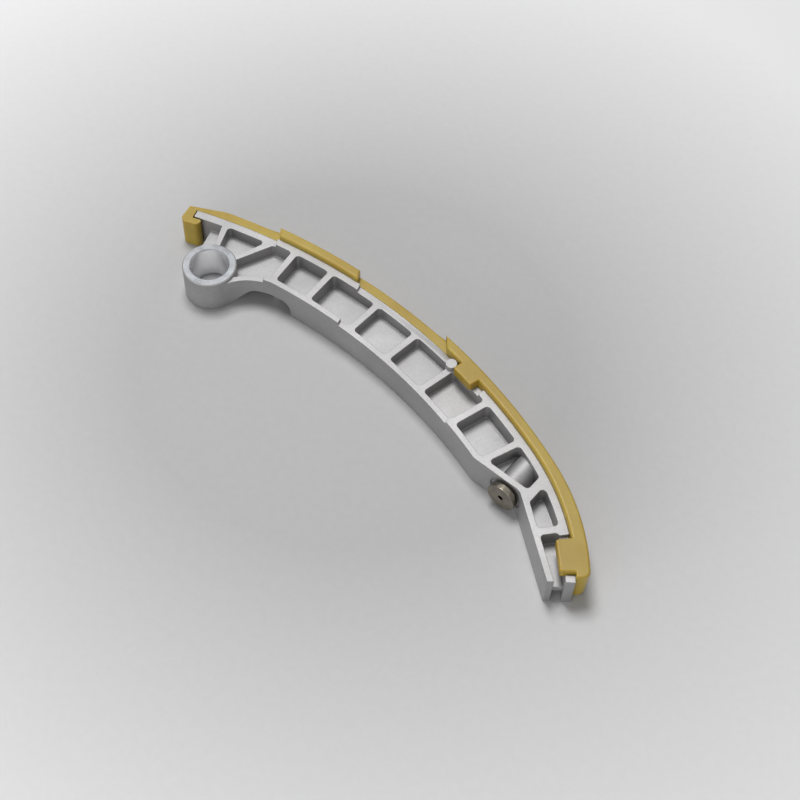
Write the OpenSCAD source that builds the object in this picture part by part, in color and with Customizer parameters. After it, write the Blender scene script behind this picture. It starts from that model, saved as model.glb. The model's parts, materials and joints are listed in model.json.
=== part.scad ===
// Timing chain guide: a cast arm that swings on a pivot bore, a moulded wear strip clipped over its
// chain side, and a hard thrust button pressed into its concave side for the tensioner plunger.
// Millimetres and degrees. The origin is on the pivot axis at the lower face of the boss, +X runs to
// the free tip, +Y to the chain side and +Z up the pivot axis. Angles along the arm are those of the
// chain-side normal, measured from +Y towards the tip.

/* [Guide curve] */
// Distance along X from the pivot to the crown of the main arc
crown_x = 73.6; // [70:0.1:78]
// Distance along Y from the pivot to the crown of the chain-side flange
crown_y = 36.2; // [34:0.1:38]
// Radius of the chain-side flange along the main arc
main_r = 231.5; // [222:0.5:240]
// Radius of the chain-side flange along the tip
tip_r = 95.5; // [90:0.5:100]
// Angle at which the main arc runs into the tip arc
blend_deg = 15.7; // [15:0.1:16.5]
// Angle at which the arm ends at the tip
tip_end_deg = 46.5; // [45:0.1:48]

/* [Arm section] */
// Width of the arm across both flanges
arm_w = 18.8; // [17.5:0.1:20]
// Width of the arm at its tip end
tip_w = 9.2; // [8.5:0.1:10]
// Height of the flanges between the raised pads
flange_h = 12.5; // [11.5:0.1:13.4]
// Height of the raised pads
pad_h = 14; // [13.6:0.1:15]
// Thickness of the chain-side flange
outer_t = 2.7; // [2:0.1:3.2]
// Thickness of the concave-side flange
inner_t = 2.2; // [1.6:0.1:2.8]
// Thickness of the ribs
rib_t = 2.6; // [1.8:0.1:3.2]
// Thickness of the web
web_t = 2.6; // [1.8:0.1:3.2]
// Height of the web's upper face
web_top = 7.5; // [6.5:0.1:8.5]
// Corner radius of the pockets
pocket_r = 1.3; // [0.6:0.1:1.6]
// Thickness of the chain-side flange along the open tip channel
tip_flange_t = 3.3; // [2.8:0.1:3.6]
// Distance from the button axis along its seat to the kink where the tip edge starts
kink_x = 5.1; // [4.6:0.1:5.8]
// Radius at the kink between the button seat and the tip edge
kink_r = 4; // [2:0.1:6]
// Distance by which the web stops short of the tip end
web_setback = 1.6; // [0.8:0.1:2.4]

/* [Ribs and pads] */
// Angle of the rib that closes the root pocket
root_rib_deg = -14.25; // [-14.6:0.05:-13.8]
// Angle of the second rib
second_rib_deg = -10.1; // [-10.8:0.05:-9.4]
// Angle of the first rib in the even row
row_start_deg = -4.7; // [-5.3:0.05:-4.3]
// Angle of the last rib in the even row
row_end_deg = 14.5; // [14:0.05:15.2]
// Number of ribs in the even row
row_count = 5; // [4:1:6]
// Angle of the rib that closes the last pocket
tip_rib_deg = 34.5; // [34:0.1:35]
// Lean of the short rib that ties the boss to the hooked flange end
hook_rib_lean = -33.5; // [-36:0.5:-31]
// Lean of the long rib that runs from the boss to the chain-side flange
boss_rib_lean = 15.6; // [13:0.1:17]
// Pad near the pivot: start on the chain side
near_pad_start = -16.5; // [-16.8:0.1:-16.2]
// Pad near the pivot: angle by which it starts later on the concave side
near_start_skew = 1.5; // [1.2:0.1:1.8]
// Pad near the pivot: end on the chain side
near_pad_end = -7.2; // [-8:0.1:-6.5]
// Pad near the pivot: angle by which it ends later on the concave side
near_end_skew = 1.4; // [1:0.1:1.8]
// Pad near the tip: start on the chain side
far_pad_start = 8.5; // [8.3:0.05:9]
// Pad near the tip: angle by which it starts later on the concave side
far_pad_skew = 0.8; // [0.5:0.1:1.3]

/* [Pivot] */
// Diameter of the pivot bore
bore_d = 14; // [12:0.1:15]
// Outer diameter of the pivot boss
boss_d = 20; // [19:0.1:21]
// Height of the pivot boss
boss_h = 14; // [13.6:0.1:15]
// Chamfer on the boss and bore edges
boss_chamfer = 0.4; // [0.2:0.1:0.8]
// Radius of the neck between the boss and the concave flange
neck_r = 18.3; // [16.5:0.1:19.5]
// Height of the scoop under the neck
scoop_h = 6.4; // [5.5:0.1:7]
// Depth of the scoop behind the neck's concave face
scoop_depth = 3.6; // [3:0.1:4.5]
// Distance along X from the pivot to the near foot of the scoop
scoop_start = 9.8; // [9.4:0.1:10.4]
// Distance along X from the pivot to the far foot of the scoop
scoop_end = 30; // [29:0.1:31]
// Length of the slope at the near foot of the scoop
scoop_ramp = 5; // [4:0.1:6]
// Length of the slope at the far foot of the scoop
scoop_far_ramp = 0.6; // [0.3:0.1:1.2]
// Radius in the roof of the scoop
scoop_r = 3.5; // [2:0.1:4]
// Angle at which the gusset beside the boss meets the hooked flange end
gusset_deg = -23.4; // [-23.8:0.1:-23]

/* [Wear strip] */
// Thickness of the strip along the main arc
strip_t = 3.9; // [3.2:0.1:4.4]
// Radius of the strip's running face along the tip
strip_tip_r = 85; // [81:0.5:89]
// Angle at which the running face turns into its tip arc
strip_blend_deg = 17.8; // [17:0.1:18.6]
// Height of the wide stretches
wide_h = 16.2; // [15.6:0.1:17]
// Near wide stretch: start beside the flange
near_wide_start = -16.3; // [-16.8:0.1:-15.9]
// Near wide stretch: end beside the flange
near_wide_end = -7.5; // [-8:0.1:-7]
// Near wide stretch: angle by which it starts and ends earlier on the running face
near_wide_skew = 0.5; // [0.2:0.1:0.8]
// Far wide stretch: start beside the flange
far_wide_start = 3.5; // [3:0.1:3.8]
// Far wide stretch: angle by which it starts earlier on the running face
far_wide_skew = 1.1; // [0.6:0.1:1.4]
// Angle at which the strip's upper edge ends at the tip
strip_end_deg = 45.9; // [45.5:0.1:46.4]
// Distance by which the tip end leans back on its way down
strip_end_lean = 1.5; // [0.5:0.1:2]
// Corner radius of the strip's tip end
strip_end_r = 2.4; // [1:0.1:3]
// Angle at which the running face starts to fall away to the hook
lead_deg = -22.5; // [-23:0.1:-21]
// Fall of the running face at the hook
lead_drop = 2.5; // [1.6:0.1:2.8]
// Clearance between the strip and the arm
strip_gap = 0.02; // [0.01:0.01:0.05]

/* [Clips] */
// Angle at which the hooked flange end stops
hook_flange_deg = -25.05; // [-25.2:0.05:-24.9]
// Thickness of the hooked flange end
hook_flange_t = 3.2; // [2.8:0.1:3.5]
// End wall of the hook
hook_wall = 4.1; // [3.4:0.1:4.6]
// Distance by which the end wall leans in towards the running face
hook_end_lean = 1.1; // [0.4:0.1:1.6]
// Thickness of the hook's leg
hook_t = 2.7; // [2.5:0.1:3]
// Length of the hook's leg from the end of the strip
hook_leg = 7.8; // [7.2:0.1:8.2]
// Corner radius of the hook's leg
hook_r = 1.9; // [1:0.1:2]
// Free gap between the hook's leg and the flange
hook_gap = 0.7; // [0.4:0.1:1]
// Middle tab: start
mid_tab_start = 5.35; // [5.3:0.05:5.6]
// Middle tab: end
mid_tab_end = 7.7; // [7.3:0.05:7.8]
// Reach of the middle tab over the flange
mid_tab_reach = 3.7; // [3.2:0.1:4.2]
// Radius of the locating post beside the middle tab
post_r = 2.1; // [1.6:0.1:2.2]
// Height of the locating post
post_h = 14.4; // [14:0.1:15]
// Tip tab: start
tip_tab_start = 37.4; // [37:0.1:37.8]
// Tip tab: end
tip_tab_end = 44.7; // [44.3:0.1:45]
// Reach of the tip tab over the flange
tip_tab_reach = 5.2; // [4.4:0.1:5.4]
// Corner radius of both tabs
tab_r = 0.8; // [0.4:0.1:1.2]
// Free gap between the tip tab and the end block beside it
tip_tab_gap = 0.4; // [0.2:0.1:0.6]
// Angle at which the pad stops short of the tip tab
tip_ledge_deg = 36; // [35.7:0.1:36.2]
// Free gap between the middle tab and its locating post
post_gap = 0.6; // [0.3:0.1:1]

/* [Thrust button] */
// Distance along X from the pivot to the button axis at its seat
seat_x = 139; // [138:0.1:140]
// Distance along Y from the pivot to the button seat
seat_y = 12.6; // [12.2:0.1:13]
// Tilt of the seat about the vertical
seat_tilt = 5.7; // [4.5:0.1:7]
// Diameter of the spot face around the button
spot_d = 13; // [12:0.1:13.4]
// Depth of the spot face
spot_depth = 0.6; // [0.4:0.1:0.8]
// Diameter of the button head
head_d = 11; // [10:0.1:11.6]
// Thickness of the button head
head_t = 2.2; // [1.8:0.1:2.6]
// Diameter of the neck behind the head
collar_d = 7.4; // [7:0.1:8]
// Length of the neck behind the head
collar_t = 1.3; // [0.8:0.1:1.6]
// Diameter of the stem pressed into the arm
stem_d = 6; // [5:0.1:6.4]
// Length of the stem
stem_l = 7.5; // [6:0.1:8.5]
// Diameter of the hole in the button face
pip_d = 2; // [1.6:0.1:2.4]
// Depth of the hole in the button face
pip_depth = 3; // [2:0.1:4]
// Diameter of the half-round housing across the button pocket
housing_d = 10; // [9:0.1:11]
// Distance from the button axis to the rib beside its pocket
button_rib_x = 8.6; // [8.2:0.1:9]
// Thickness of the rib beside the button pocket
button_rib_t = 3.4; // [2.8:0.1:3.8]
// Chamfer on the button's edges
button_chamfer = 0.3; // [0.1:0.1:0.5]
// Room left past the end of the stem
stem_room = 0.5; // [0.2:0.1:1]
// Clearance between the stem and its hole
stem_gap = 0.01; // [0.01:0.01:0.03]

/* [Hidden] */

// A cut runs this far past the faces that it opens
over = 2;
// Reach of the construction lines and angles well outside the part
far = 300;
before_root = -40;
past_tip = 70;
// Fineness of small rounds, of the long arcs and of a corner's arc
$fn = 64;
long_fn = 720;
corner_steps = 4;
// The neck's arc bites this far into the faces that it touches
neck_bite = 0.02;

web_z = web_top - web_t;
boss_r = boss_d / 2;
main_center = [crown_x, crown_y - main_r];
tip_center = polar(main_center, main_r - tip_r, blend_deg);
strip_tip_center = polar(main_center, main_r + strip_t - strip_tip_r, strip_blend_deg);
row_pitch_deg = (row_end_deg - row_start_deg) / (row_count - 1);
row_degs = [for (i = [0:row_count - 1]) row_start_deg + i * row_pitch_deg];
rib_degs = concat([root_rib_deg, second_rib_deg], row_degs);

// The neck's arc touches the boss and the concave face
neck_center = two_circles([0, 0], boss_r + neck_r, main_center, main_r - arm_w - neck_r);
neck_deg = atan2(neck_center.x - crown_x, neck_center.y - main_center.y);

// The seat's own axes: along the seat, and from the seat into the arm
seat_along = [cos(seat_tilt), sin(seat_tilt)];
seat_into = [-sin(seat_tilt), cos(seat_tilt)];
seat_z = pad_h / 2;

// The tip edge runs straight from the kink to the tip corner, with its inner wall beside it
kink = seat_point(kink_x, 0);
tip_corner = on_curve(tip_end_deg, tip_w);
tip_run = unit(tip_corner - kink);
tip_wall = tip_corner + inner_t * [-tip_run.y, tip_run.x];
tip_ledge_end = tip_tab_end + along_tip_deg(tip_tab_gap);
web_end_deg = tip_end_deg - along_tip_deg(web_setback);
open_deg = tip_end_deg + along_tip_deg(2 * over);
post_deg = mid_tab_start - along_deg(post_r + post_gap);
post_depth = post_r + strip_gap;

// Hook: the slot takes the flange end with room, and the leg follows the flange
hook_slot = hook_flange_t + hook_gap;
hook_inner_deg = hook_flange_deg - along_deg(hook_gap / 2);
hook_end_deg = hook_inner_deg - along_deg(hook_wall);
hook_leg_deg = hook_end_deg + along_deg(hook_leg);
lead_start = on_curve(lead_deg, -strip_t);
lead_end = on_curve(hook_end_deg, lead_drop - strip_t);

function unit(v) = v / norm(v);
function polar(center, r, a) = center + r * [sin(a), cos(a)];
function along_deg(length) = length / main_r * 180 / PI;
function along_tip_deg(length) = length / tip_r * 180 / PI;

// Point at an angle along the arm and at a depth below the chain-side flange face
function on_curve(a, depth) = a < blend_deg
    ? polar(main_center, main_r - depth, a)
    : polar(tip_center, tip_r - depth, a);

// Point at a depth on a slanted step that runs later by an angle over a width
function on_step(a, skew, width, depth) = on_curve(a + skew * depth / width, depth);

// Point on the curve moved sideways along the arm by a rib's half thickness
function beside(a, depth, shift) = on_curve(a, depth) + shift * [cos(a), -sin(a)];

// Point in the seat's axes
function seat_point(along, into) = [seat_x, seat_y] + along * seat_along + into * seat_into;

// Point on a rib that leans out from the pivot, and its end inside the chain-side flange
function spoke(lean, dist, shift) = dist * [sin(lean), cos(lean)] + shift * [cos(lean), -sin(lean)];
function spoke_end(lean, shift, depth) =
    leave_circle(spoke(lean, 0, shift), [sin(lean), cos(lean)], main_center, main_r - depth);

// Crossing of two circles, the one on the left of the line from the second centre to the first
function two_circles(p, p_r, q, q_r) =
    let (d = norm(q - p), u = (q - p) / d, t = (p_r * p_r - q_r * q_r + d * d) / (2 * d))
    p + t * u + sqrt(p_r * p_r - t * t) * [-u.y, u.x];

// Crossing of two lines, each given by a point and a direction
function cross_lines(p, u, q, v) =
    p + u * ((q.x - p.x) * v.y - (q.y - p.y) * v.x) / (u.x * v.y - u.y * v.x);

// Point where a line leaves a circle
function leave_circle(p, u, center, r) =
    let (w = p - center, b = w * u)
    p + u * (-b + sqrt(b * b - w * w + r * r));

// Arc of radius r at corner q of the path p, q, s
function corner(p, q, s, r) =
    let (u = unit(p - q), v = unit(s - q), half = acos(u * v) / 2)
    let (center = q + unit(u + v) * r / sin(half), cut = r / tan(half))
    let (a = q + u * cut - center, b = q + v * cut - center)
    [for (i = [0:corner_steps]) center + r * unit(a + (b - a) * i / corner_steps)];

// Closed path through [point, radius] pairs, where a radius of 0 keeps the point
function rounded(path) =
    let (n = len(path))
    [for (i = [0:n - 1]) each path[i][1] == 0
        ? [path[i][0]]
        : corner(path[(i + n - 1) % n][0], path[i][0], path[(i + 1) % n][0], path[i][1])];

// Points of an arc at one depth, between two angles and without its ends
function arc_inside(a, b, depth, n) =
    [for (i = [1:n - 1]) [on_curve(a + (b - a) * i / n, depth), 0]];

// Wedge of the main arc between two angles
module stretch(a, b) {
    polygon([main_center, polar(main_center, far, a), polar(main_center, far, b)]);
}

// All that lies below the guide curve, moved out by an offset
module below_curve(main_offset) {
    intersection() {
        translate(main_center) circle(r = main_r + main_offset, $fn = long_fn);
        stretch(before_root, blend_deg);
    }
    intersection() {
        translate(tip_center) circle(r = tip_r + main_offset, $fn = long_fn);
        polygon([tip_center, polar(tip_center, far, 0), polar(tip_center, far, past_tip)]);
    }
}

// All that lies below the strip's running face
module below_running_face() {
    intersection() {
        translate(main_center) circle(r = main_r + strip_t, $fn = long_fn);
        stretch(before_root, strip_blend_deg);
    }
    intersection() {
        translate(strip_tip_center) circle(r = strip_tip_r, $fn = long_fn);
        polygon([strip_tip_center, polar(strip_tip_center, far, 0),
            polar(strip_tip_center, far, past_tip)]);
    }
}

// Band along the arm between an angle on the main arc and one on the tip arc
module band(a, b) {
    polygon([on_curve(a, 2 * arm_w), polar(main_center, far, a), polar(main_center, far, blend_deg),
        polar(tip_center, far, b), on_curve(b, 2 * arm_w)]);
}

// Concave side: the flat button seat, the kink and the straight tip edge
module concave_cut() {
    clear = 4 * arm_w;
    polygon(rounded([
        [seat_point(-clear / 2, 0), 0],
        [kink, kink_r],
        [kink + clear * tip_run, 0],
        [kink + clear * [1, -1], 0],
        [seat_point(-clear / 2, -clear), 0],
    ]));
}

// Wedge between the boss, the hooked flange end and the neck
module root_wedge() {
    polygon([
        [0, 0],
        spoke(hook_rib_lean, 0, -rib_t / 2),
        spoke_end(hook_rib_lean, -rib_t / 2, outer_t / 2),
        on_curve(near_pad_start, outer_t / 2),
        on_curve(second_rib_deg, outer_t / 2),
        on_curve(second_rib_deg, arm_w / 2),
        on_curve(neck_deg, arm_w),
        neck_center,
    ]);
}

// Outer end of the chain-side flange that the hook grips
module hooked_flange() {
    intersection() {
        difference() {
            below_curve(0);
            below_curve(-hook_flange_t);
        }
        stretch(hook_flange_deg, root_rib_deg);
    }
}

// Whole outline of the arm seen from above
module arm_outline() {
    difference() {
        intersection() {
            below_curve(0);
            union() {
                root_wedge();
                difference() {
                    band(near_pad_start, tip_end_deg);
                    below_curve(-arm_w);
                }
            }
        }
        translate(neck_center) circle(r = neck_r + neck_bite, $fn = long_fn);
        concave_cut();
    }
    hooked_flange();
}

// Pocket between two ribs along the arm
module arm_pocket(a, b) {
    deep = arm_w - inner_t;
    polygon(rounded(concat(
        [[beside(a, outer_t, rib_t / 2), pocket_r]],
        arc_inside(a, b, outer_t, 4),
        [[beside(b, outer_t, -rib_t / 2), pocket_r], [beside(b, deep, -rib_t / 2), pocket_r]],
        arc_inside(b, a, deep, 4),
        [[beside(a, deep, rib_t / 2), pocket_r]]
    )));
}

// Two pockets at the root, one on each side of the long rib, ending on the boss and the neck
module root_pockets() {
    difference() {
        union() {
            polygon(rounded([
                [spoke_end(hook_rib_lean, rib_t / 2, outer_t), pocket_r],
                [spoke_end(boss_rib_lean, -rib_t / 2, outer_t), pocket_r],
                [[0, 0], 0],
            ]));
            polygon(rounded([
                [spoke_end(boss_rib_lean, rib_t / 2, outer_t), pocket_r],
                [beside(root_rib_deg, outer_t, -rib_t / 2), pocket_r],
                [beside(root_rib_deg, arm_w, -rib_t / 2), 0],
                [neck_center, 0],
                [spoke(boss_rib_lean, 0, rib_t / 2), 0],
            ]));
        }
        circle(r = boss_r);
        translate(neck_center) circle(r = neck_r + inner_t, $fn = long_fn);
    }
}

// Pocket with the button housing, bounded by the seat's wall and by a rib along the button axis
module button_pocket() {
    side = button_rib_x - button_rib_t / 2;
    rib_face = beside(row_end_deg, 0, rib_t / 2);
    rib_run = [sin(row_end_deg), cos(row_end_deg)];
    top_end = leave_circle(seat_point(side, 0), seat_into, tip_center, tip_r - outer_t);
    top_deg = atan2(top_end.x - tip_center.x, top_end.y - tip_center.y);
    polygon(rounded(concat(
        [[beside(row_end_deg, outer_t, rib_t / 2), pocket_r]],
        arc_inside(row_end_deg, top_deg, outer_t, 5),
        [[top_end, pocket_r], [seat_point(side, inner_t), pocket_r]],
        [[cross_lines(seat_point(0, inner_t), seat_along, rib_face, rib_run), pocket_r]]
    )));
}

// Last closed pocket before the tip channel
module tip_pocket() {
    side = button_rib_x + button_rib_t / 2;
    rib_face = beside(tip_rib_deg, 0, -rib_t / 2);
    rib_run = [sin(tip_rib_deg), cos(tip_rib_deg)];
    top_start = leave_circle(seat_point(side, 0), seat_into, tip_center, tip_r - outer_t);
    top_deg = atan2(top_start.x - tip_center.x, top_start.y - tip_center.y);
    polygon(rounded(concat(
        [[top_start, pocket_r]],
        arc_inside(top_deg, tip_rib_deg, outer_t, 5),
        [[beside(tip_rib_deg, outer_t, -rib_t / 2), pocket_r]],
        [[cross_lines(tip_wall, tip_run, rib_face, rib_run), pocket_r]],
        [[cross_lines(tip_wall, tip_run, seat_point(side, 0), seat_into), pocket_r]]
    )));
}

// Channel between the two flanges, open at the tip
module tip_channel() {
    rib_face = beside(tip_rib_deg, 0, rib_t / 2);
    rib_run = [sin(tip_rib_deg), cos(tip_rib_deg)];
    polygon(rounded(concat(
        [[beside(tip_rib_deg, tip_flange_t, rib_t / 2), pocket_r]],
        arc_inside(tip_rib_deg, open_deg, tip_flange_t, 8),
        [[on_curve(open_deg, tip_flange_t), 0], [tip_wall + over * tip_run, 0]],
        [[cross_lines(tip_wall, tip_run, rib_face, rib_run), pocket_r]]
    )));
}

// Every pocket, cut from above and from below down to the web
module pockets() {
    root_pockets();
    for (i = [0:len(rib_degs) - 2]) arm_pocket(rib_degs[i], rib_degs[i + 1]);
    button_pocket();
    tip_pocket();
    tip_channel();
}

// Stretches where the flanges stay below the raised pads
module between_pads() {
    clear = 4 * arm_w;
    past = arm_w + 2 * over;
    root_step = on_step(near_pad_start, near_start_skew, arm_w, past);
    polygon([
        on_step(near_pad_start, near_start_skew, arm_w, -2 * over),
        root_step,
        [root_step.x, -clear],
        [-clear, -clear],
        [-clear, clear],
    ]);
    polygon([
        on_step(near_pad_end, near_end_skew, arm_w, -2 * over),
        on_step(far_pad_start, far_pad_skew, arm_w, -2 * over),
        on_step(far_pad_start, far_pad_skew, arm_w, past),
        on_step(near_pad_end, near_end_skew, arm_w, past),
    ]);
    polygon([
        on_curve(tip_ledge_deg, -over),
        on_curve(tip_ledge_end, -over),
        on_curve(tip_ledge_end, tip_flange_t + pocket_r),
        on_curve(tip_ledge_deg, tip_flange_t + pocket_r),
    ]);
}

// Scoop that lifts the neck's lower edge off the plane of the boss
module scoop() {
    foot = scoop_start - over * scoop_ramp / scoop_h;
    intersection() {
        translate([neck_center.x, neck_center.y, -over])
            cylinder(r = neck_r + scoop_depth, h = web_top + over);
        rotate([90, 0, 0]) linear_extrude(far, center = true) polygon(rounded([
            [[foot, -over], 0],
            [[scoop_start + scoop_ramp, scoop_h], scoop_r],
            [[scoop_end - scoop_far_ramp, scoop_h], scoop_r],
            [[scoop_end, -over], 0],
        ]));
    }
}

// Thin gusset from the boss to the hooked flange end, level with the web
module gusset() {
    translate([0, 0, web_z]) linear_extrude(web_t) polygon([
        [0, 0],
        [-boss_r, 0],
        on_curve(gusset_deg, hook_flange_t / 2),
        spoke_end(hook_rib_lean, 0, hook_flange_t / 2),
    ]);
}

// Puts a shape that stands on the seat, axis up, onto the spot face
module on_seat() {
    p = seat_point(0, spot_depth);
    translate([p.x, p.y, seat_z]) rotate([90, 0, seat_tilt]) children();
}

// Half-round housing that runs from the spot face into the chain-side flange
module housing() {
    intersection() {
        on_seat() translate([0, 0, -arm_w]) cylinder(d = housing_d, h = arm_w + spot_depth);
        linear_extrude(pad_h) below_curve(-outer_t / 2);
    }
}

// Boss with chamfered rims
module boss() {
    rotate_extrude() polygon([
        [0, 0],
        [boss_r - boss_chamfer, 0],
        [boss_r, boss_chamfer],
        [boss_r, boss_h - boss_chamfer],
        [boss_r - boss_chamfer, boss_h],
        [0, boss_h],
    ]);
}

// Bore through the boss, with a chamfer at each end
module pivot_bore() {
    bore_r = bore_d / 2;
    translate([0, 0, -over]) cylinder(r = bore_r, h = boss_h + 2 * over);
    rotate_extrude() polygon([
        [0, -over],
        [bore_r + boss_chamfer + over, -over],
        [bore_r, boss_chamfer],
        [0, boss_chamfer],
    ]);
    translate([0, 0, boss_h]) rotate_extrude() polygon([
        [0, -boss_chamfer],
        [bore_r, -boss_chamfer],
        [bore_r + boss_chamfer + over, over],
        [0, over],
    ]);
}

// Ribbed casting with everything but the boss, the housing and the gusset
module ribbed_body() {
    difference() {
        linear_extrude(pad_h) arm_outline();
        translate([0, 0, flange_h]) linear_extrude(pad_h) between_pads();
        translate([0, 0, web_top]) linear_extrude(pad_h) pockets();
        translate([0, 0, -over]) linear_extrude(web_z + over) pockets();
        translate([0, 0, -over]) linear_extrude(pad_h + 2 * over) intersection() {
            tip_channel();
            polygon([tip_center, polar(tip_center, far, web_end_deg), polar(tip_center, far, past_tip)]);
        }
        scoop();
    }
}

// Die-cast arm
module arm() {
    post = on_curve(post_deg, post_depth);
    color("silver") difference() {
        union() {
            ribbed_body();
            boss();
            gusset();
            translate([post.x, post.y, web_top]) cylinder(r = post_r, h = post_h - web_top);
            housing();
        }
        pivot_bore();
        on_seat() cylinder(d = spot_d, h = over);
        on_seat() translate([0, 0, -stem_l - stem_room])
            cylinder(d = stem_d + 2 * stem_gap, h = stem_l + stem_room + over);
    }
}

// Hook that wraps round the flange end, drawn from inside the strip
module hook_outline() {
    polygon(rounded([
        [on_curve(hook_inner_deg, -strip_t), 0],
        [on_curve(hook_inner_deg, hook_slot), hook_gap / 2],
        [on_curve(hook_leg_deg, hook_slot), hook_gap / 2],
        [on_curve(hook_leg_deg, hook_slot + hook_t), hook_r],
        [on_curve(hook_end_deg, hook_slot + hook_t), hook_r],
        [on_curve(hook_end_deg + along_deg(hook_end_lean), -strip_t), 0],
    ]));
}

// Lead-in: the running face falls away in a straight line over the hook
module lead_in_cut() {
    run = unit(lead_start - lead_end);
    out = 2 * strip_t * [-run.y, run.x];
    polygon([
        lead_start + over * run,
        lead_end - over * run,
        lead_end - over * run + out,
        lead_start + over * run + out,
    ]);
}

// Tip end of the strip: a face that leans back on its way down, with a round outer corner
module strip_end_cut() {
    reach = 2 * strip_t;
    out = [sin(strip_end_deg), cos(strip_end_deg)];
    tip = leave_circle(tip_center, out, strip_tip_center, strip_tip_r);
    face = unit(tip - strip_tip_center);
    run = [face.y, -face.x];
    lean = atan2(strip_end_lean, wide_h);
    translate([tip.x, tip.y, wide_h]) rotate(a = lean, v = [out.x, out.y, 0])
        translate([0, 0, -wide_h - over]) linear_extrude(wide_h + 2 * over) polygon(rounded([
            [-reach * out, 0],
            [[0, 0], strip_end_r],
            [-reach * run, 0],
            [reach * (out - run), 0],
            [reach * (out + run), 0],
            [reach * (run - out), 0],
        ]));
}

// Strip seen from above, still without the shape of its tip end
module strip_outline() {
    difference() {
        union() {
            difference() {
                intersection() {
                    below_running_face();
                    band((hook_inner_deg + hook_end_deg) / 2, open_deg);
                }
                below_curve(strip_gap);
            }
            hook_outline();
        }
        lead_in_cut();
    }
}

// Stretches where the strip is no higher than the flange
module narrow_stretches() {
    polygon([
        on_step(near_wide_start, near_wide_skew, strip_t, strip_t),
        on_step(near_wide_start, near_wide_skew, strip_t, -2 * strip_t),
        polar(main_center, far, near_wide_start),
        polar(main_center, far, before_root),
        on_curve(before_root, arm_w),
    ]);
    polygon([
        on_step(near_wide_end, near_wide_skew, strip_t, strip_t),
        on_step(near_wide_end, near_wide_skew, strip_t, -2 * strip_t),
        on_step(far_wide_start, far_wide_skew, strip_t, -2 * strip_t),
        on_step(far_wide_start, far_wide_skew, strip_t, strip_t),
    ]);
}

// Tab that reaches over the flange from the strip
module tab(a, b, reach) {
    translate([0, 0, flange_h + strip_gap]) linear_extrude(wide_h - flange_h - strip_gap) polygon(rounded([
        [on_curve(a, -strip_t / 2), 0],
        [on_curve(b, -strip_t / 2), 0],
        [on_curve(b, reach), tab_r],
        [on_curve(a, reach), tab_r],
    ]));
}

// Moulded wear strip
module wear_strip() {
    color("darkkhaki") {
        difference() {
            linear_extrude(wide_h) strip_outline();
            translate([0, 0, flange_h]) linear_extrude(wide_h) narrow_stretches();
            strip_end_cut();
        }
        tab(mid_tab_start, mid_tab_end, mid_tab_reach);
        tab(tip_tab_start, tip_tab_end, tip_tab_reach);
    }
}

// Hard button with its stem, neck, head and face hole
module thrust_button() {
    rim = button_chamfer;
    top = collar_t + head_t;
    color("dimgray") on_seat() rotate_extrude() polygon([
        [0, -stem_l],
        [stem_d / 2 - rim, -stem_l],
        [stem_d / 2, rim - stem_l],
        [stem_d / 2, 0],
        [collar_d / 2, 0],
        [collar_d / 2, collar_t],
        [head_d / 2, collar_t],
        [head_d / 2, top - rim],
        [head_d / 2 - rim, top],
        [pip_d / 2 + rim, top],
        [pip_d / 2, top - rim],
        [pip_d / 2, top - pip_depth],
        [0, top - pip_depth],
    ]);
}

arm();
wear_strip();
thrust_button();
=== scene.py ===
"""Looks of the timing chain guide: a blasted casting, a moulded strip and a ground steel button.

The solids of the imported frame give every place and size. The casting and the strip are the solids'
own forms with their edges broken or filleted as in the real part, and the button is turned from its
own profile. Each piece has a procedural finish, and the part lies in a small studio.
"""

import json
import logging
import math
from collections.abc import Callable
from dataclasses import dataclass
from enum import Enum, IntEnum

import bmesh
import bpy
from mathutils import Matrix, Vector


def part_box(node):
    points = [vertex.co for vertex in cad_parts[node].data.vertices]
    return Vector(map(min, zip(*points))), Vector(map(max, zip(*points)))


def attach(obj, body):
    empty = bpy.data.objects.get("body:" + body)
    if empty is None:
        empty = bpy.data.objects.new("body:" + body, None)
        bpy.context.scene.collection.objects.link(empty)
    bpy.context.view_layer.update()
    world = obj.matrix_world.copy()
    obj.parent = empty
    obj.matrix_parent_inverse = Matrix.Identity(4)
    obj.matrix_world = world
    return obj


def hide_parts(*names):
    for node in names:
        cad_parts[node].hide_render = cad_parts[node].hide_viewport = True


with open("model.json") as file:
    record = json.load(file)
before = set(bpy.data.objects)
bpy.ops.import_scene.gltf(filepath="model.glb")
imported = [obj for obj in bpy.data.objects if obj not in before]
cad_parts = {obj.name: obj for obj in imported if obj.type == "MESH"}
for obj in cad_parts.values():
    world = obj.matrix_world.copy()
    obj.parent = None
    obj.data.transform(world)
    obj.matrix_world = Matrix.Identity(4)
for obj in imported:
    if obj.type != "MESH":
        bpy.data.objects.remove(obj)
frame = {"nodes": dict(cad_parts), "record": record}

LOG = logging.getLogger("timing_chain_guide")
MM = 0.001
Colour = tuple[float, float, float]
Point = tuple[float, float, float]
Plan = tuple[float, float]
Span = tuple[float, float]
MOST_NOISE: Span = (0.3, 0.7)
WHOLE: Span = (0.0, 1.0)
LINE_SCALE = 0.3


class Slot(Enum):
    """Material slots of the record."""

    CASTING = "cast_aluminium"
    STRIP = "nylon"
    BUTTON = "hard_steel"


class Node(Enum):
    """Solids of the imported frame."""

    ARM = "arm"
    STRIP = "wear_strip"
    BUTTON = "thrust_button"


class Skin(IntEnum):
    """Places of the casting's finishes among its materials."""

    CAST = 0
    TURNED = 1
    # The honed bore, painted paler than its metal so that it shows bright in its shade.
    HONED_PAINTED_BRIGHT = 2


class Section(Enum):
    """Section of a turning line."""

    SAW = "SAW"
    WAVE = "SIN"


@dataclass(frozen=True)
class Grain:
    """A noise: width of a grain in metres, octaves of finer grain and the share of each."""

    size: float
    detail: float = 2.0
    rough: float = 0.5


@dataclass(frozen=True)
class Relief:
    """Depth of a surface pattern in metres and the share of it that shows."""

    depth: float
    strength: float


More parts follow.
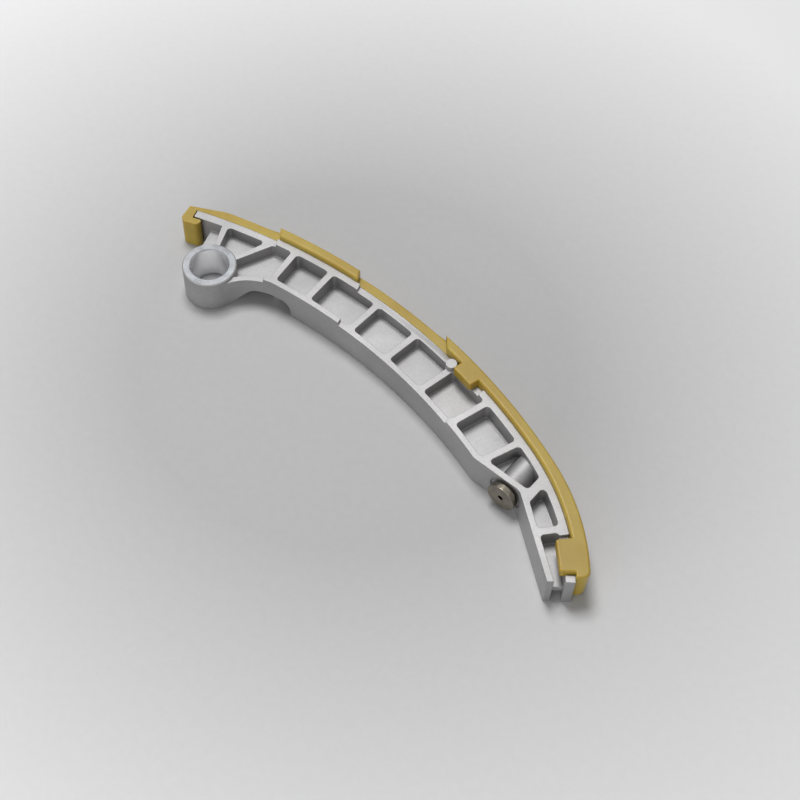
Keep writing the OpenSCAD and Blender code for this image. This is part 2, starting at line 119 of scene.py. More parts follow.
def linear(colour: Colour) -> tuple[float, float, float, float]:
    """Turns a display colour into the linear one that a shader takes.

    Args:
        colour: Red, green and blue from 0 to 255.

    Returns:
        Linear red, green, blue and an opaque alpha.
    """
    parts = [c / 255 for c in colour]
    red, green, blue = (
        c / 12.92 if c <= 0.04045 else ((c + 0.055) / 1.055) ** 2.4 for c in parts
    )
    return red, green, blue, 1.0


class Graph:
    """A material's node tree, with short ways to add the nodes that the finishes share."""

    def __init__(self, name: str) -> None:
        """Starts a material that holds one surface shader.

        Args:
            name: Name of the material.
        """
        self.material = bpy.data.materials.new(name)
        self.material.use_nodes = True
        self.tree = self.material.node_tree
        self.shader = self.tree.nodes["Principled BSDF"]
        self.place = self.add("ShaderNodeTexCoord").outputs["Object"]

    def add(self, kind: str, **settings: object) -> bpy.types.Node:
        """Adds a node and sets its own properties.

        Args:
            kind: Blender's name of the node type.
            **settings: Properties of the node.

        Returns:
            The new node.
        """
        node = self.tree.nodes.new(kind)
        for name, value in settings.items():
            setattr(node, name, value)
        return node

    def join(self, source: bpy.types.NodeSocket, target: bpy.types.NodeSocket) -> None:
        """Links an output to an input."""
        self.tree.links.new(source, target)

    def noise(self, grain: Grain) -> bpy.types.NodeSocket:
        """Adds a noise on the piece's own coordinates.

        Args:
            grain: Size and fineness of the noise.

        Returns:
            The noise's value from 0 to 1.
        """
        node = self.add("ShaderNodeTexNoise")
        node.inputs["Scale"].default_value = 1 / grain.size
        node.inputs["Detail"].default_value = grain.detail
        node.inputs["Roughness"].default_value = grain.rough
        self.join(self.place, node.inputs["Vector"])
        return node.outputs["Fac"]

    def rings(self, place: bpy.types.NodeSocket, line: float, section: Section,
              waver: float) -> bpy.types.NodeSocket:
        """Adds turning lines about the vertical axis of a place.

        Args:
            place: Coordinates that the lines run round.
            line: Width of a line in metres.
            section: Section of a line.
            waver: How far the lines stray.

        Returns:
            The lines' value from 0 to 1.
        """
        node = self.add("ShaderNodeTexWave", wave_type="RINGS", rings_direction="Z",
                        wave_profile=section.value)
        node.inputs["Scale"].default_value = LINE_SCALE / line
        node.inputs["Distortion"].default_value = waver
        self.join(place, node.inputs["Vector"])
        return node.outputs["Fac"]

    def spread(self, value: bpy.types.NodeSocket, given: Span,
               result: Span) -> bpy.types.NodeSocket:
        """Maps a value's range onto another.

        Args:
            value: The value to map.
            given: Values that give the two ends of the result.
            result: Ends of the result.

        Returns:
            The mapped value, held between the ends.
        """
        node = self.add("ShaderNodeMapRange")
        for name, number in zip(("From Min", "From Max", "To Min", "To Max"), given + result):
            node.inputs[name].default_value = number
        self.join(value, node.inputs["Value"])
        return node.outputs["Result"]

    def shades(self, value: bpy.types.NodeSocket, span: Span, first: Colour,
               second: Colour) -> bpy.types.NodeSocket:
        """Turns a value into a colour between two.

        Args:
            value: The value to colour.
            span: Values from 0 to 1 that give the two colours.
            first: Display colour at the span's start.
            second: Display colour at the span's end.

        Returns:
            The colour.
        """
        node = self.add("ShaderNodeValToRGB")
        for stop, place, colour in zip(node.color_ramp.elements, span, (first, second)):
            stop.position = place
            stop.color = linear(colour)
        self.join(value, node.inputs["Fac"])
        return node.outputs["Color"]

    def mix(self, share: bpy.types.NodeSocket, base: bpy.types.NodeSocket,
            over: Colour) -> bpy.types.NodeSocket:
        """Lays a colour over another by a share that changes over the surface.

        Args:
            share: Share of the colour on top.
            base: Colour below.
            over: Display colour on top.

        Returns:
            The mixed colour.
        """
        node = self.add("ShaderNodeMix", data_type="RGBA")
        factor, below, above = node.inputs[0], node.inputs[6], node.inputs[7]
        self.join(share, factor)
        self.join(base, below)
        above.default_value = linear(over)
        return node.outputs[2]

    def bump(self, height: bpy.types.NodeSocket, relief: Relief,
             under: bpy.types.NodeSocket | None = None) -> bpy.types.NodeSocket:
        """Raises the surface's normal by a height.

        Args:
            height: Height from 0 to 1.
            relief: Depth of the relief.
            under: Normal of a coarser relief below.

        Returns:
            The new normal.
        """
        node = self.add("ShaderNodeBump")
        node.inputs["Distance"].default_value = relief.depth
        node.inputs["Strength"].default_value = relief.strength
        self.join(height, node.inputs["Height"])
        if under is not None:
            self.join(under, node.inputs["Normal"])
        return node.outputs["Normal"]

    def set(self, name: str, value: object) -> None:
        """Sets one of the shader's own sockets."""
        self.shader.inputs[name].default_value = value

    def feed(self, name: str, source: bpy.types.NodeSocket) -> None:
        """Links a value to one of the shader's sockets."""
        self.join(source, self.shader.inputs[name])


@dataclass(frozen=True)
class BlastedCasting:
    """Die-cast aluminium, blasted to an even dull silver with a fine grain."""

    name: str = "blasted_casting"
    pale: Colour = (163, 162, 162)
    dull: Colour = (152, 151, 151)
    pit: Colour = (132, 131, 131)
    cloud: Grain = Grain(18 * MM, 4, 0.55)
    cloud_span: Span = (0.35, 0.65)
    grain: Grain = Grain(0.4 * MM, 3, 0.6)
    speck: Grain = Grain(0.76 * MM)
    speck_span: Span = (0.28, 0.5)
    pit_share: Span = (0.3, 0.0)
    wave: Grain = Grain(3.2 * MM)
    wave_relief: Relief = Relief(0.09 * MM, 0.2)
    grain_relief: Relief = Relief(0.03 * MM, 0.45)
    metallic: float = 0.7
    rough: Span = (0.46, 0.58)

    def material(self) -> bpy.types.Material:
        """Builds clouds of two greys, specks of pits and a blasted relief.

        Returns:
            The material.
        """
        g = Graph(self.name)
        grain = g.noise(self.grain)
        base = g.shades(g.noise(self.cloud), self.cloud_span, self.dull, self.pale)
        pitted = g.spread(g.noise(self.speck), self.speck_span, self.pit_share)
        g.feed("Base Color", g.mix(pitted, base, self.pit))
        g.set("Metallic", self.metallic)
        g.feed("Roughness", g.spread(grain, MOST_NOISE, self.rough))
        waves = g.bump(g.noise(self.wave), self.wave_relief)
        g.feed("Normal", g.bump(grain, self.grain_relief, waves))
        return g.material


@dataclass(frozen=True)
class TurnedFace:
    """Machined aluminium about the pivot, with fine turning lines."""

    name: str = "turned_face"
    pale: Colour = (160, 162, 165)
    dull: Colour = (146, 148, 151)
    line: float = 0.16 * MM
    metallic: float = 0.95
    rough: Span = (0.26, 0.36)
    waver: float = 1.5
    blotch: Grain = Grain(4 * MM, 3)
    relief: Relief = Relief(0.006 * MM, 0.35)

    def material(self) -> bpy.types.Material:
        """Builds blotches of shade and gloss, and turning lines about the pivot in relief.

        Returns:
            The material.
        """
        g = Graph(self.name)
        blotch = g.noise(self.blotch)
        g.feed("Base Color", g.shades(blotch, MOST_NOISE, self.dull, self.pale))
        g.set("Metallic", self.metallic)
        g.feed("Roughness", g.spread(blotch, MOST_NOISE, self.rough))
        rings = g.rings(g.place, self.line, Section.SAW, self.waver)
        g.feed("Normal", g.bump(rings, self.relief))
        return g.material


@dataclass(frozen=True)
class MouldedNylon:
    """Unfilled nylon in mustard yellow, satin, a little translucent and cloudy from moulding."""

    name: str = "moulded_nylon"
    pale: Colour = (175, 152, 58)
    deep: Colour = (163, 136, 40)
    cloud: Grain = Grain(22 * MM, 4, 0.6)
    cloud_span: Span = (0.35, 0.68)
    grain: Grain = Grain(0.5 * MM)
    wave: Grain = Grain(6 * MM)
    wave_relief: Relief = Relief(0.08 * MM, 0.3)
    grain_relief: Relief = Relief(0.012 * MM, 0.35)
    rough: Span = (0.36, 0.5)
    glow_share: float = 0.6
    glow_depth: float = 2.6 * MM
    glow_reach: Colour = (0.9, 0.6, 0.25)
    refraction: float = 1.52

    def material(self) -> bpy.types.Material:
        """Builds slow clouds of two yellows that glow a little, and a faint moulded texture.

        Returns:
            The material.
        """
        g = Graph(self.name)
        grain = g.noise(self.grain)
        g.feed("Base Color", g.shades(g.noise(self.cloud), self.cloud_span, self.deep, self.pale))
        g.feed("Roughness", g.spread(grain, MOST_NOISE, self.rough))
        g.set("Subsurface Weight", self.glow_share)
        g.set("Subsurface Radius", self.glow_reach)
        g.set("Subsurface Scale", self.glow_depth)
        g.set("IOR", self.refraction)
        waves = g.bump(g.noise(self.wave), self.wave_relief)
        g.feed("Normal", g.bump(grain, self.grain_relief, waves))
        return g.material


@dataclass(frozen=True)
class GroundSteel:
    """Hardened steel, turned and ground, with a straw tint from tempering."""

    seat: Point
    turn: float
    name: str = "ground_steel"
    pale: Colour = (146, 140, 126)
    deep: Colour = (120, 115, 105)
    line: float = MM / 3
    waver: float = 0.8
    rough: Span = (0.16, 0.26)
    blotch: Grain = Grain(2.2 * MM, 3, 0.55)
    relief: Relief = Relief(0.004 * MM, 0.3)

    def material(self) -> bpy.types.Material:
        """Builds turning lines about the button's axis and a blotchy temper tint.

        Returns:
            The material.
        """
        g = Graph(self.name)
        turn = g.add("ShaderNodeMapping", vector_type="TEXTURE")
        turn.inputs["Location"].default_value = self.seat
        turn.inputs["Rotation"].default_value = (math.radians(90), 0, self.turn)
        g.join(g.place, turn.inputs["Vector"])
        rings = g.rings(turn.outputs["Vector"], self.line, Section.WAVE, self.waver)
        g.feed("Base Color", g.shades(g.noise(self.blotch), MOST_NOISE, self.deep, self.pale))
        g.set("Metallic", 1.0)
        g.feed("Roughness", g.spread(rings, WHOLE, self.rough))
        g.feed("Normal", g.bump(rings, self.relief))
        return g.material


def sight(tree: bpy.types.NodeTree) -> bpy.types.NodeSocket:
    """Tells a camera's, mirrored or refracted ray from the rays that light a surface.

    Args:
        tree: Node tree of a material or world.

    Returns:
        1 for a ray that shows the background, else 0.
    """
    path = tree.nodes.new("ShaderNodeLightPath")
    value = path.outputs["Is Camera Ray"]
    for name in ("Is Glossy Ray", "Is Transmission Ray"):
        both = tree.nodes.new("ShaderNodeMath")
        both.operation = "MAXIMUM"
        tree.links.new(value, both.inputs[0])
        tree.links.new(path.outputs[name], both.inputs[1])
        value = both.outputs["Value"]
    return value


@dataclass(frozen=True)
class StudioPaper:
    """Pale paper under the part, with painted shade: greyer near the part and paler away from it,
    standing in for the light's falloff.
    """

    name: str = "studio_paper"
    # near and away are painted shade: the grey round the part and the paler paper farther out stand
    # in for the light falling off, not for a change in the paper.
    near: Colour = (180, 180, 181)
    away: Colour = (238, 238, 239)
    horizon: Colour = (236, 236, 237)
    middle: Point = (58 * MM, 18 * MM, 0.0)
    spread: Span = (80 * MM, 250 * MM)
    fade: Span = (0.24, 0.7)
    fibre: Grain = Grain(3 * MM, 4, 0.6)
    fibre_share: float = 0.12
    rough: float = 0.75
    gloss: float = 0.2

    def material(self) -> bpy.types.Material:
        """Builds paper with painted shade, grey in the middle and paler outwards, and a plain
        backdrop far off.

        Returns:
            The material.
        """
        g = Graph(self.name)
        away = g.add("ShaderNodeVectorMath", operation="DISTANCE")
        away.inputs[1].default_value = self.middle
        g.join(g.place, away.inputs[0])
        distance = away.outputs["Value"]
        # Fibre noise plus the painted shade that greys the paper near the part.
        fibre = g.add("ShaderNodeMath", operation="MULTIPLY_ADD")
        g.join(g.noise(self.fibre), fibre.inputs[0])
        fibre.inputs[1].default_value = self.fibre_share
        g.join(g.spread(distance, self.spread, WHOLE), fibre.inputs[2])
        g.feed("Base Color", g.shades(fibre.outputs["Value"], WHOLE, self.near, self.away))
        g.set("Roughness", self.rough)
        g.set("Specular IOR Level", self.gloss)
        far = g.add("ShaderNodeMath", operation="MULTIPLY")
        g.join(g.spread(distance, self.fade, WHOLE), far.inputs[0])
        g.join(sight(g.tree), far.inputs[1])
        backdrop = g.add("ShaderNodeEmission")
        backdrop.inputs["Color"].default_value = linear(self.horizon)
        blend = g.add("ShaderNodeMixShader")
        g.join(far.outputs["Value"], blend.inputs[0])
        g.join(g.shader.outputs["BSDF"], blend.inputs[1])
        g.join(backdrop.outputs["Emission"], blend.inputs[2])
        g.join(blend.outputs["Shader"], g.tree.nodes["Material Output"].inputs["Surface"])
        return g.material


EdgeRule = Callable[[bmesh.types.BMEdge, float], float]


@dataclass
class RoundedSolid:
    """A solid's own form with its edges rounded by radii in metres that a rule gives."""

    node: Node
    name: str
    widest: float
    steps: int = 3
    sharp: float = math.radians(28)
    flat: float = math.radians(0.2)
    weld: float = 0.004 * MM
    room: float = 0.88
    passes: int = 24
    least_cut: float = 0.5
    least_sine: float = 0.03
    straight: float = math.radians(143)
    growth: float = 1.35

    def taken(self, corner: bmesh.types.BMLoop, own: float, other: float) -> float:
        """Gives the length that rounding takes from an edge at a face's corner.

        Args:
            corner: Corner of the face where two edges meet.
            own: Radius of the edge that is asked about.
            other: Radius of the edge that it meets.

        Returns:
            The length taken, none where the edge grows.
        """
        angle = corner.calc_angle() if corner.is_convex else math.tau - corner.calc_angle()
        if abs(math.sin(angle)) < self.least_sine:
            return 0.0
        return max(0.0, (other + own * math.cos(angle)) / math.sin(angle))

    def ease(self, shape: bmesh.types.BMesh, radius: dict[bmesh.types.BMEdge, float]) -> None:
        """Lowers radii where an edge is too short for them, and evens them out along smooth runs.

        Args:
            shape: The solid.
            radius: Radius of each edge, changed in place.
        """
        corners = [corner for face in shape.faces for corner in face.loops]
        for _ in range(self.passes):
            for corner in corners:
                following = corner.link_loop_next
                before, edge, after = corner.link_loop_prev.edge, corner.edge, following.edge
                taken = self.taken(corner, radius[edge], radius[before])
                taken += self.taken(following, radius[edge], radius[after])
                room = self.room * edge.calc_length()
                if taken > room:
                    for one in {before, edge, after}:
                        radius[one] *= max(self.least_cut, room / taken)
                least = min(radius[before], radius[edge])
                if least > 0 and corner.calc_angle() > self.straight:
                    radius[before] = min(radius[before], self.growth * least)
                    radius[edge] = min(radius[edge], self.growth * least)

    def whole(self, mesh: bpy.types.Mesh) -> bmesh.types.BMesh:
        """Joins a mesh's loose triangles into a closed shape with whole flat faces.

        Args:
            mesh: Copy of the solid's mesh.

        Returns:
            The shape.
        """
        shape = bmesh.new()
        shape.from_mesh(mesh)
        bmesh.ops.remove_doubles(shape, verts=shape.verts, dist=self.weld)
        bmesh.ops.dissolve_degenerate(shape, edges=shape.edges, dist=self.weld)
        bmesh.ops.dissolve_limit(shape, angle_limit=self.flat, verts=shape.verts, edges=shape.edges)
        shape.normal_update()
        return shape

    def build(self, rule: EdgeRule) -> bpy.types.Object:
        """Copies the solid and rounds its edges.

        Args:
            rule: Gives an edge's radius from the edge and its signed face angle.

        Returns:
            The new object, a plain mesh at the origin.
        """
        mesh = frame["nodes"][self.node.value].data.copy()
        mesh.materials.clear()
        shape = self.whole(mesh)
        weight = shape.edges.layers.float.new("bevel_weight_edge")
        angles = {edge: edge.calc_face_angle_signed(0.0) for edge in shape.edges}
        radius = {
            edge: rule(edge, angle) if abs(angle) > self.sharp else 0.0
            for edge, angle in angles.items()
        }
        self.ease(shape, radius)
        for edge, angle in angles.items():
            edge[weight] = radius[edge] / self.widest
            edge.smooth = abs(angle) <= self.sharp or radius[edge] > 0
        for face in shape.faces:
            face.smooth = True
        shape.to_mesh(mesh)
        shape.free()
        mesh.name = self.name
        piece = bpy.data.objects.new(self.name, mesh)
        bpy.context.scene.collection.objects.link(piece)
        bevel = piece.modifiers.new("edges", "BEVEL")
        bevel.limit_method = "WEIGHT"
        bevel.width = self.widest
        bevel.segments = self.steps
        bevel.use_clamp_overlap = False
        bevel.loop_slide = False
        bevel.miter_outer = "MITER_ARC"
        return flatten(piece)


def flatten(piece: bpy.types.Object) -> bpy.types.Object:
    """Keeps wide faces flat in the light, so that only their rounded rims turn.

    Args:
        piece: Object that is shaded smooth.

    Returns:
        The same object, as a plain mesh with its normals set.
    """
    even = piece.modifiers.new("even", "WEIGHTED_NORMAL")
    even.mode = "FACE_AREA"
    even.weight = 100
    even.keep_sharp = True
    return plain(piece)


def plain(piece: bpy.types.Object) -> bpy.types.Object:
    """Turns a piece's modifiers into a plain mesh.

    Args:
        piece: Object whose modifiers are used up.

    Returns:
        The same object, without modifiers.
    """
    bpy.context.view_layer.update()
    seen = piece.evaluated_get(bpy.context.evaluated_depsgraph_get())
    mesh = bpy.data.meshes.new_from_object(seen)
    piece.modifiers.clear()
    old = piece.data
    piece.data = mesh
    bpy.data.meshes.remove(old)
    mesh.name = piece.name
    return piece


def dress(piece: bpy.types.Object, node: Node) -> None:
    """Lets a piece stand for its solid and ride on the part.

    Args:
        piece: The finished piece.
        node: Solid that it stands for.
    """
    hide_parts(node.value)
    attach(piece, "root")


@dataclass
class CastArm:
    """The ribbed casting: blasted all over, machined in the bore and on the boss faces."""

    rim: float = 0.2 * MM
    fillet: float = 0.25 * MM
    shallow: float = math.radians(52)
    bore_r: float = 7.0 * MM
    bore_edge: float = 0.3 * MM
    boss_r: float = 10.0 * MM
    boss_h: float = 14.0 * MM
    boss_clear: float = 0.6 * MM
    post: Plan = (92.4 * MM, 33.4 * MM)
    post_r: float = 2.5 * MM
    post_rim_z: float = 14.2 * MM
    spot: Plan = (139.0 * MM, 12.5 * MM)
    spot_r: float = 7.2 * MM
    spot_rim: float = 0.15 * MM
    level: float = 0.95
    upright: float = 0.3
    near: float = 0.05 * MM
    casting: BlastedCasting = BlastedCasting()
    turned: TurnedFace = TurnedFace()
    # The bore's near-white colours are partly the honed metal and partly painted light: they are far
    # paler than the same metal on the boss, so that the shaded bore shows bright.
    honed_painted_bright: TurnedFace = TurnedFace(
        "honed_bore_painted_bright", (246, 246, 247), (238, 238, 239), 0.3 * MM, 0.65, (0.18, 0.26)
    )

    def radius(self, edge: bmesh.types.BMEdge, angle: float) -> float:
        """Gives an edge's radius: none at the boss and post, else a rim outside or a fillet inside.

        Args:
            edge: Edge of the solid.
            angle: Its signed face angle, negative in a hollow corner.

        Returns:
            The radius in metres.
        """
        middle = (edge.verts[0].co + edge.verts[1].co) / 2
        at_boss = middle.xy.length < self.boss_r + self.boss_clear
        by_post = (middle.xy - Vector(self.post)).length < self.post_r
        at_post = by_post and middle.z < self.post_rim_z
        if at_boss or at_post or -self.shallow < angle < 0:
            return 0.0
        if (middle.xy - Vector(self.spot)).length < self.spot_r:
            return self.spot_rim
        return self.rim if angle > 0 else self.fillet

    def finish(self, face: bpy.types.MeshPolygon) -> Skin:
        """Picks a face's finish: honed and painted bright in the bore, turned on the boss faces,
        else as cast.

        Args:
            face: Face of the casting.

        Returns:
            The finish.
        """
        middle, slope = face.center, abs(face.normal.z)
        if middle.xy.length < self.bore_r + self.bore_edge:
            return Skin.HONED_PAINTED_BRIGHT if slope < self.upright else Skin.TURNED
        at_end = min(abs(middle.z), abs(middle.z - self.boss_h)) < self.near
        on_boss = middle.xy.length < self.boss_r
        return Skin.TURNED if slope > self.level and at_end and on_boss else Skin.CAST

    def build(self) -> bpy.types.Object:
        """Builds and dresses the casting.

        Returns:
            The casting.
        """
        piece = RoundedSolid(Node.ARM, "casting", max(self.rim, self.fillet)).build(self.radius)
        for finish in (self.casting, self.turned, self.honed_painted_bright):
            piece.data.materials.append(finish.material())
        for face in piece.data.polygons:
            face.material_index = self.finish(face)
        dress(piece, Node.ARM)
        return piece


@dataclass
class WearStrip:
    """The moulded strip that the chain runs on, with its hook and tabs."""

    rim: float = 0.9 * MM
    rim_steps: int = 4
    seam: float = 0.15 * MM
    corner: float = 0.4 * MM
    tab: float = 0.6 * MM
    narrow_h: float = 12.5 * MM
    near: float = 0.5 * MM
    level: float = 0.9
    hook_x: float = -15.0 * MM
    slot_depth: float = 4.2 * MM
    main_center: Plan = (73.6 * MM, -195.3 * MM)
    main_r: float = 231.5 * MM
    tip_r: float = 95.5 * MM
    blend: float = math.radians(15.7)
    nylon: MouldedNylon = MouldedNylon()

    def depth(self, point: Vector) -> float:
        """Measures how far a point lies inside the arm's face that the strip is clipped to.

        Args:
            point: Point in the frame.

        Returns:
            The distance in metres, negative on the strip's own side.
        """
        out = point.xy - Vector(self.main_center)
        if math.atan2(out.x, out.y) < self.blend:
            return self.main_r - out.length
        shift = (self.main_r - self.tip_r) * Vector((math.sin(self.blend), math.cos(self.blend)))
        return self.tip_r - (out - shift).length

    def radius(self, edge: bmesh.types.BMEdge, angle: float) -> float:
        """Gives an edge's radius: a full round along the rims, less on hook, tabs and seam.

        Args:
            edge: Edge of the solid.
            angle: Its signed face angle, negative in a hollow corner.

        Returns:
            The radius in metres.
        """
        middle = (edge.verts[0].co + edge.verts[1].co) / 2
        depth = self.depth(middle)
        in_slot = middle.x < self.hook_x and -self.near < depth < self.slot_depth
        if angle < 0 or in_slot:
            return self.seam
        above = middle.z > self.narrow_h + self.near
        if depth < -self.near:
            level = [face for face in edge.link_faces if abs(face.normal.z) > self.level]
            upright = 0.0 if above else self.corner
            return self.rim if len(level) == 1 else upright
        if depth > self.near:
            return self.tab if above or middle.x < self.hook_x else self.seam
        return self.rim if above else self.seam

    def build(self) -> bpy.types.Object:
        """Builds and dresses the strip.

        Returns:
            The strip.
        """
        solid = RoundedSolid(Node.STRIP, "moulded_strip", self.rim, self.rim_steps)
        piece = solid.build(self.radius)
        piece.data.materials.append(self.nylon.material())
        dress(piece, Node.STRIP)
        return piece


@dataclass
class ThrustButton:
    """The hard button that the tensioner's plunger pushes on, turned about its own axis."""

    name: str = "steel_button"
    stem_r: float = 3.0 * MM
    stem_l: float = 7.5 * MM
    collar_r: float = 3.7 * MM
    collar_t: float = 1.3 * MM
    head_r: float = 5.5 * MM
    head_t: float = 2.2 * MM
    hole_r: float = 1.0 * MM
    hole_depth: float = 3.0 * MM
    rim: float = 0.16 * MM
    rim_steps: int = 4
    segments: int = 96
    axis_r: float = 0.001 * MM
    weld: float = 0.005 * MM
    mount: str = "button_face"

    def profile(self) -> list[Plan]:
        """Lists half a section's corners, from the stem's end to the hole's floor.

        Returns:
            Radius and height of each corner.
        """
        top = self.collar_t + self.head_t
        return [
            (0, -self.stem_l),
            (self.stem_r, -self.stem_l),
            (self.stem_r, 0),
            (self.collar_r, 0),
            (self.collar_r, self.collar_t),
            (self.head_r, self.collar_t),
            (self.head_r, top),
            (self.hole_r, top),
            (self.hole_r, top - self.hole_depth),
            (0, top - self.hole_depth),
        ]

    def axis(self) -> tuple[Vector, float]:
        """Finds the button's axis in the frame.

        Returns:
            The seat's middle, and the axis's turn about the vertical in radians.
        """
        mount = next(m for m in frame["record"]["mounts"] if m["name"] == self.mount)
        along = Vector(mount["axis"])
        face = Vector(mount["pos_m"])
        low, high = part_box(Node.BUTTON.value)
        face.z = (low[2] + high[2]) / 2
        return face - along * (self.collar_t + self.head_t), math.atan2(along.x, -along.y)

    def lathe(self) -> bpy.types.NodeTree:
        """Builds the tree that rounds a profile's corners and turns it about the axis.

        Returns:
            The tree, with named inputs for its sizes.
        """
        tree = bpy.data.node_groups.new("button_lathe", "GeometryNodeTree")
        sockets = (
            ("Profile", "Geometry"), ("Rim", "Float"), ("Rim Steps", "Int"), ("Segments", "Int"),
            ("Seat", "Vector"), ("Turn", "Vector"), ("Finish", "Material"),
        )
        for name, kind in sockets:
            tree.interface.new_socket(name, in_out="INPUT", socket_type=f"NodeSocket{kind}")
        tree.interface.new_socket("Button", in_out="OUTPUT", socket_type="NodeSocketGeometry")
        given = tree.nodes.new("NodeGroupInput").outputs
        line = tree.nodes.new("GeometryNodeMeshToCurve")
        rounds = tree.nodes.new("GeometryNodeFilletCurve")
        rounds.mode = "POLY"
        circle = tree.nodes.new("GeometryNodeCurvePrimitiveCircle")
        circle.inputs["Radius"].default_value = self.axis_r
        turned = tree.nodes.new("GeometryNodeCurveToMesh")
        closed = tree.nodes.new("GeometryNodeMergeByDistance")
        closed.inputs["Distance"].default_value = self.weld
        smooth = tree.nodes.new("GeometryNodeSetShadeSmooth")
        turn = tree.nodes.new("FunctionNodeEulerToRotation")
        seated = tree.nodes.new("GeometryNodeTransform")
        real = tree.nodes.new("GeometryNodeRealizeInstances")
        finish = tree.nodes.new("GeometryNodeSetMaterial")
        result = tree.nodes.new("NodeGroupOutput")
        for source, target in (
            (given["Profile"], line.inputs["Mesh"]),
            (line.outputs["Curve"], rounds.inputs["Curve"]),
            (given["Rim"], rounds.inputs["Radius"]),
            (given["Rim Steps"], rounds.inputs["Count"]),
            (given["Segments"], circle.inputs["Resolution"]),
            (circle.outputs["Curve"], turned.inputs["Curve"]),
            (rounds.outputs["Curve"], turned.inputs["Profile Curve"]),
            (turned.outputs["Mesh"], closed.inputs["Geometry"]),
            (closed.outputs["Geometry"], smooth.inputs["Geometry"]),
            (smooth.outputs["Geometry"], seated.inputs["Geometry"]),
            (given["Seat"], seated.inputs["Translation"]),
            (given["Turn"], turn.inputs["Euler"]),
            (turn.outputs["Rotation"], seated.inputs["Rotation"]),
            (seated.outputs["Geometry"], real.inputs["Geometry"]),
            (real.outputs["Geometry"], finish.inputs["Geometry"]),
            (given["Finish"], finish.inputs["Material"]),
            (finish.outputs["Geometry"], result.inputs["Button"]),
        ):
            tree.links.new(source, target)
        return tree

    def build(self) -> bpy.types.Object:
        """Builds and dresses the button.

        Returns:
            The button.
        """
        seat, turn = self.axis()
        points = [(radius, height, 0) for radius, height in self.profile()]
        mesh = bpy.data.meshes.new(self.name)
        mesh.from_pydata(points, [(i, i + 1) for i in range(len(points) - 1)], [])
        piece = bpy.data.objects.new(self.name, mesh)
        bpy.context.scene.collection.objects.link(piece)
        tree = self.lathe()
        sizes = {
            "Rim": self.rim,
            "Rim Steps": self.rim_steps,
            "Segments": self.segments,
            "Seat": tuple(seat),
            "Turn": (math.radians(-90), 0, turn),
            "Finish": GroundSteel(tuple(seat), turn).material(),
        }
        maker = piece.modifiers.new("lathe", "NODES")
        maker.node_group = tree
        for socket in tree.interface.items_tree:
            if socket.name in sizes:
                maker[socket.identifier] = sizes[socket.name]
        flatten(plain(piece))
        dress(piece, Node.BUTTON)
        return piece


@dataclass(frozen=True)
class Softbox:
    """One soft lamp: its place in metres, its two widths and its power in watts."""

    name: str
    place: Point
    size: Plan
    power: float

    def build(self, aim: Point) -> None:
        """Adds the lamp to the scene.

        Args:
            aim: Point that the lamp faces.
        """
        lamp = bpy.data.lights.new(self.name, "AREA")
        lamp.shape = "RECTANGLE"
        lamp.size, lamp.size_y = self.size
        lamp.energy = self.power
        holder = bpy.data.objects.new(self.name, lamp)
        holder.location = self.place
        way = Vector(aim) - Vector(self.place)
        holder.rotation_euler = way.to_track_quat("-Z", "Y").to_euler()
        bpy.context.scene.collection.objects.link(holder)


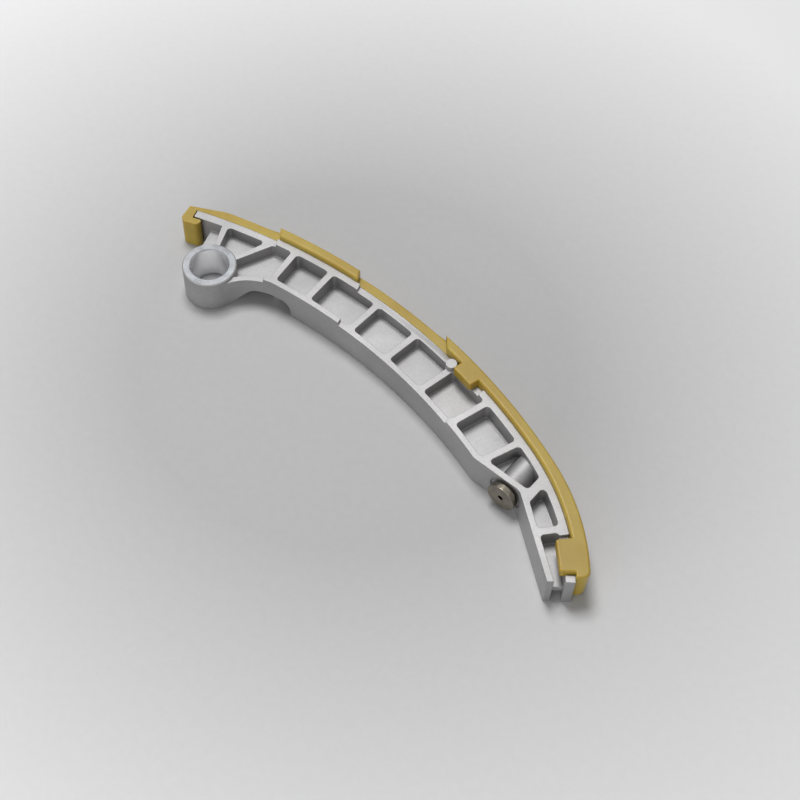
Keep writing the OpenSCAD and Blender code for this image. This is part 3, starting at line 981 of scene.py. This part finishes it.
@dataclass
class Studio:
    """Paper, lamps, surrounding light and the camera at the photograph's angle."""

    middle: Point = (0.0845, 0.0163, 0.0)
    eye: Point = (0.27691, -0.18835, 0.41082)
    roll: float = math.radians(3.2)
    lens: float = 62.73
    sensor: float = 36.0
    nearest: float = 0.01
    paper_size: float = 6.0
    paper_z: float = -0.02 * MM
    surround: float = 0.19
    key: Softbox = Softbox("key", (-0.2, 0.12, 0.98), (0.36, 0.36), 7.9)
    front: Softbox = Softbox("front", (0.28, -0.62, 0.17), (1.0, 0.25), 2.4)
    paper: StudioPaper = StudioPaper()

    def build_paper(self) -> None:
        """Lays the paper just under the part."""
        half = self.paper_size / 2
        mesh = bpy.data.meshes.new("paper")
        corners = [(-half, -half), (half, -half), (half, half), (-half, half)]
        mesh.from_pydata([(x, y, self.paper_z) for x, y in corners], [], [(0, 1, 2, 3)])
        mesh.materials.append(self.paper.material())
        paper = bpy.data.objects.new("paper", mesh)
        bpy.context.scene.collection.objects.link(paper)

    def build_light(self) -> None:
        """Adds the lamps and an even surrounding light, behind which the backdrop shows."""
        self.key.build(self.middle)
        self.front.build(self.middle)
        world = bpy.data.worlds.new("surround")
        world.use_nodes = True
        tree = world.node_tree
        light = tree.nodes["Background"]
        light.inputs["Color"].default_value = (1, 1, 1, 1)
        light.inputs["Strength"].default_value = self.surround
        seen = tree.nodes.new("ShaderNodeBackground")
        seen.inputs["Color"].default_value = linear(self.paper.horizon)
        choose = tree.nodes.new("ShaderNodeMixShader")
        tree.links.new(sight(tree), choose.inputs[0])
        tree.links.new(light.outputs["Background"], choose.inputs[1])
        tree.links.new(seen.outputs["Background"], choose.inputs[2])
        tree.links.new(choose.outputs["Shader"], tree.nodes["World Output"].inputs["Surface"])
        bpy.context.scene.world = world

    def build_camera(self) -> None:
        """Sets the camera at the photograph's place, turned by its small roll."""
        camera = bpy.data.cameras.new("camera")
        camera.lens = self.lens
        camera.sensor_width = self.sensor
        camera.sensor_fit = "HORIZONTAL"
        camera.clip_start = self.nearest
        back = (Vector(self.eye) - Vector(self.middle)).normalized()
        right = Vector((0, 0, 1)).cross(back).normalized()
        up = back.cross(right)
        turn = Matrix.Rotation(self.roll, 4, back)
        axes = Matrix((right, up, back)).transposed().to_4x4()
        holder = bpy.data.objects.new("camera", camera)
        holder.matrix_world = Matrix.Translation(self.eye) @ turn @ axes
        bpy.context.scene.collection.objects.link(holder)
        bpy.context.scene.camera = holder

    def build(self) -> None:
        """Builds the whole studio."""
        self.build_paper()
        self.build_light()
        self.build_camera()
        bpy.context.scene.view_settings.view_transform = "Standard"


def main() -> None:
    """Builds the pieces and the studio, and logs each piece's count of faces."""
    logging.basicConfig(level=logging.INFO, format="%(message)s")
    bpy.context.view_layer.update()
    for part in (CastArm(), WearStrip(), ThrustButton()):
        piece = part.build()
        LOG.info("%s: %d faces", piece.name, len(piece.data.polygons))
    Studio().build()


if __name__ == "__main__":
    main()
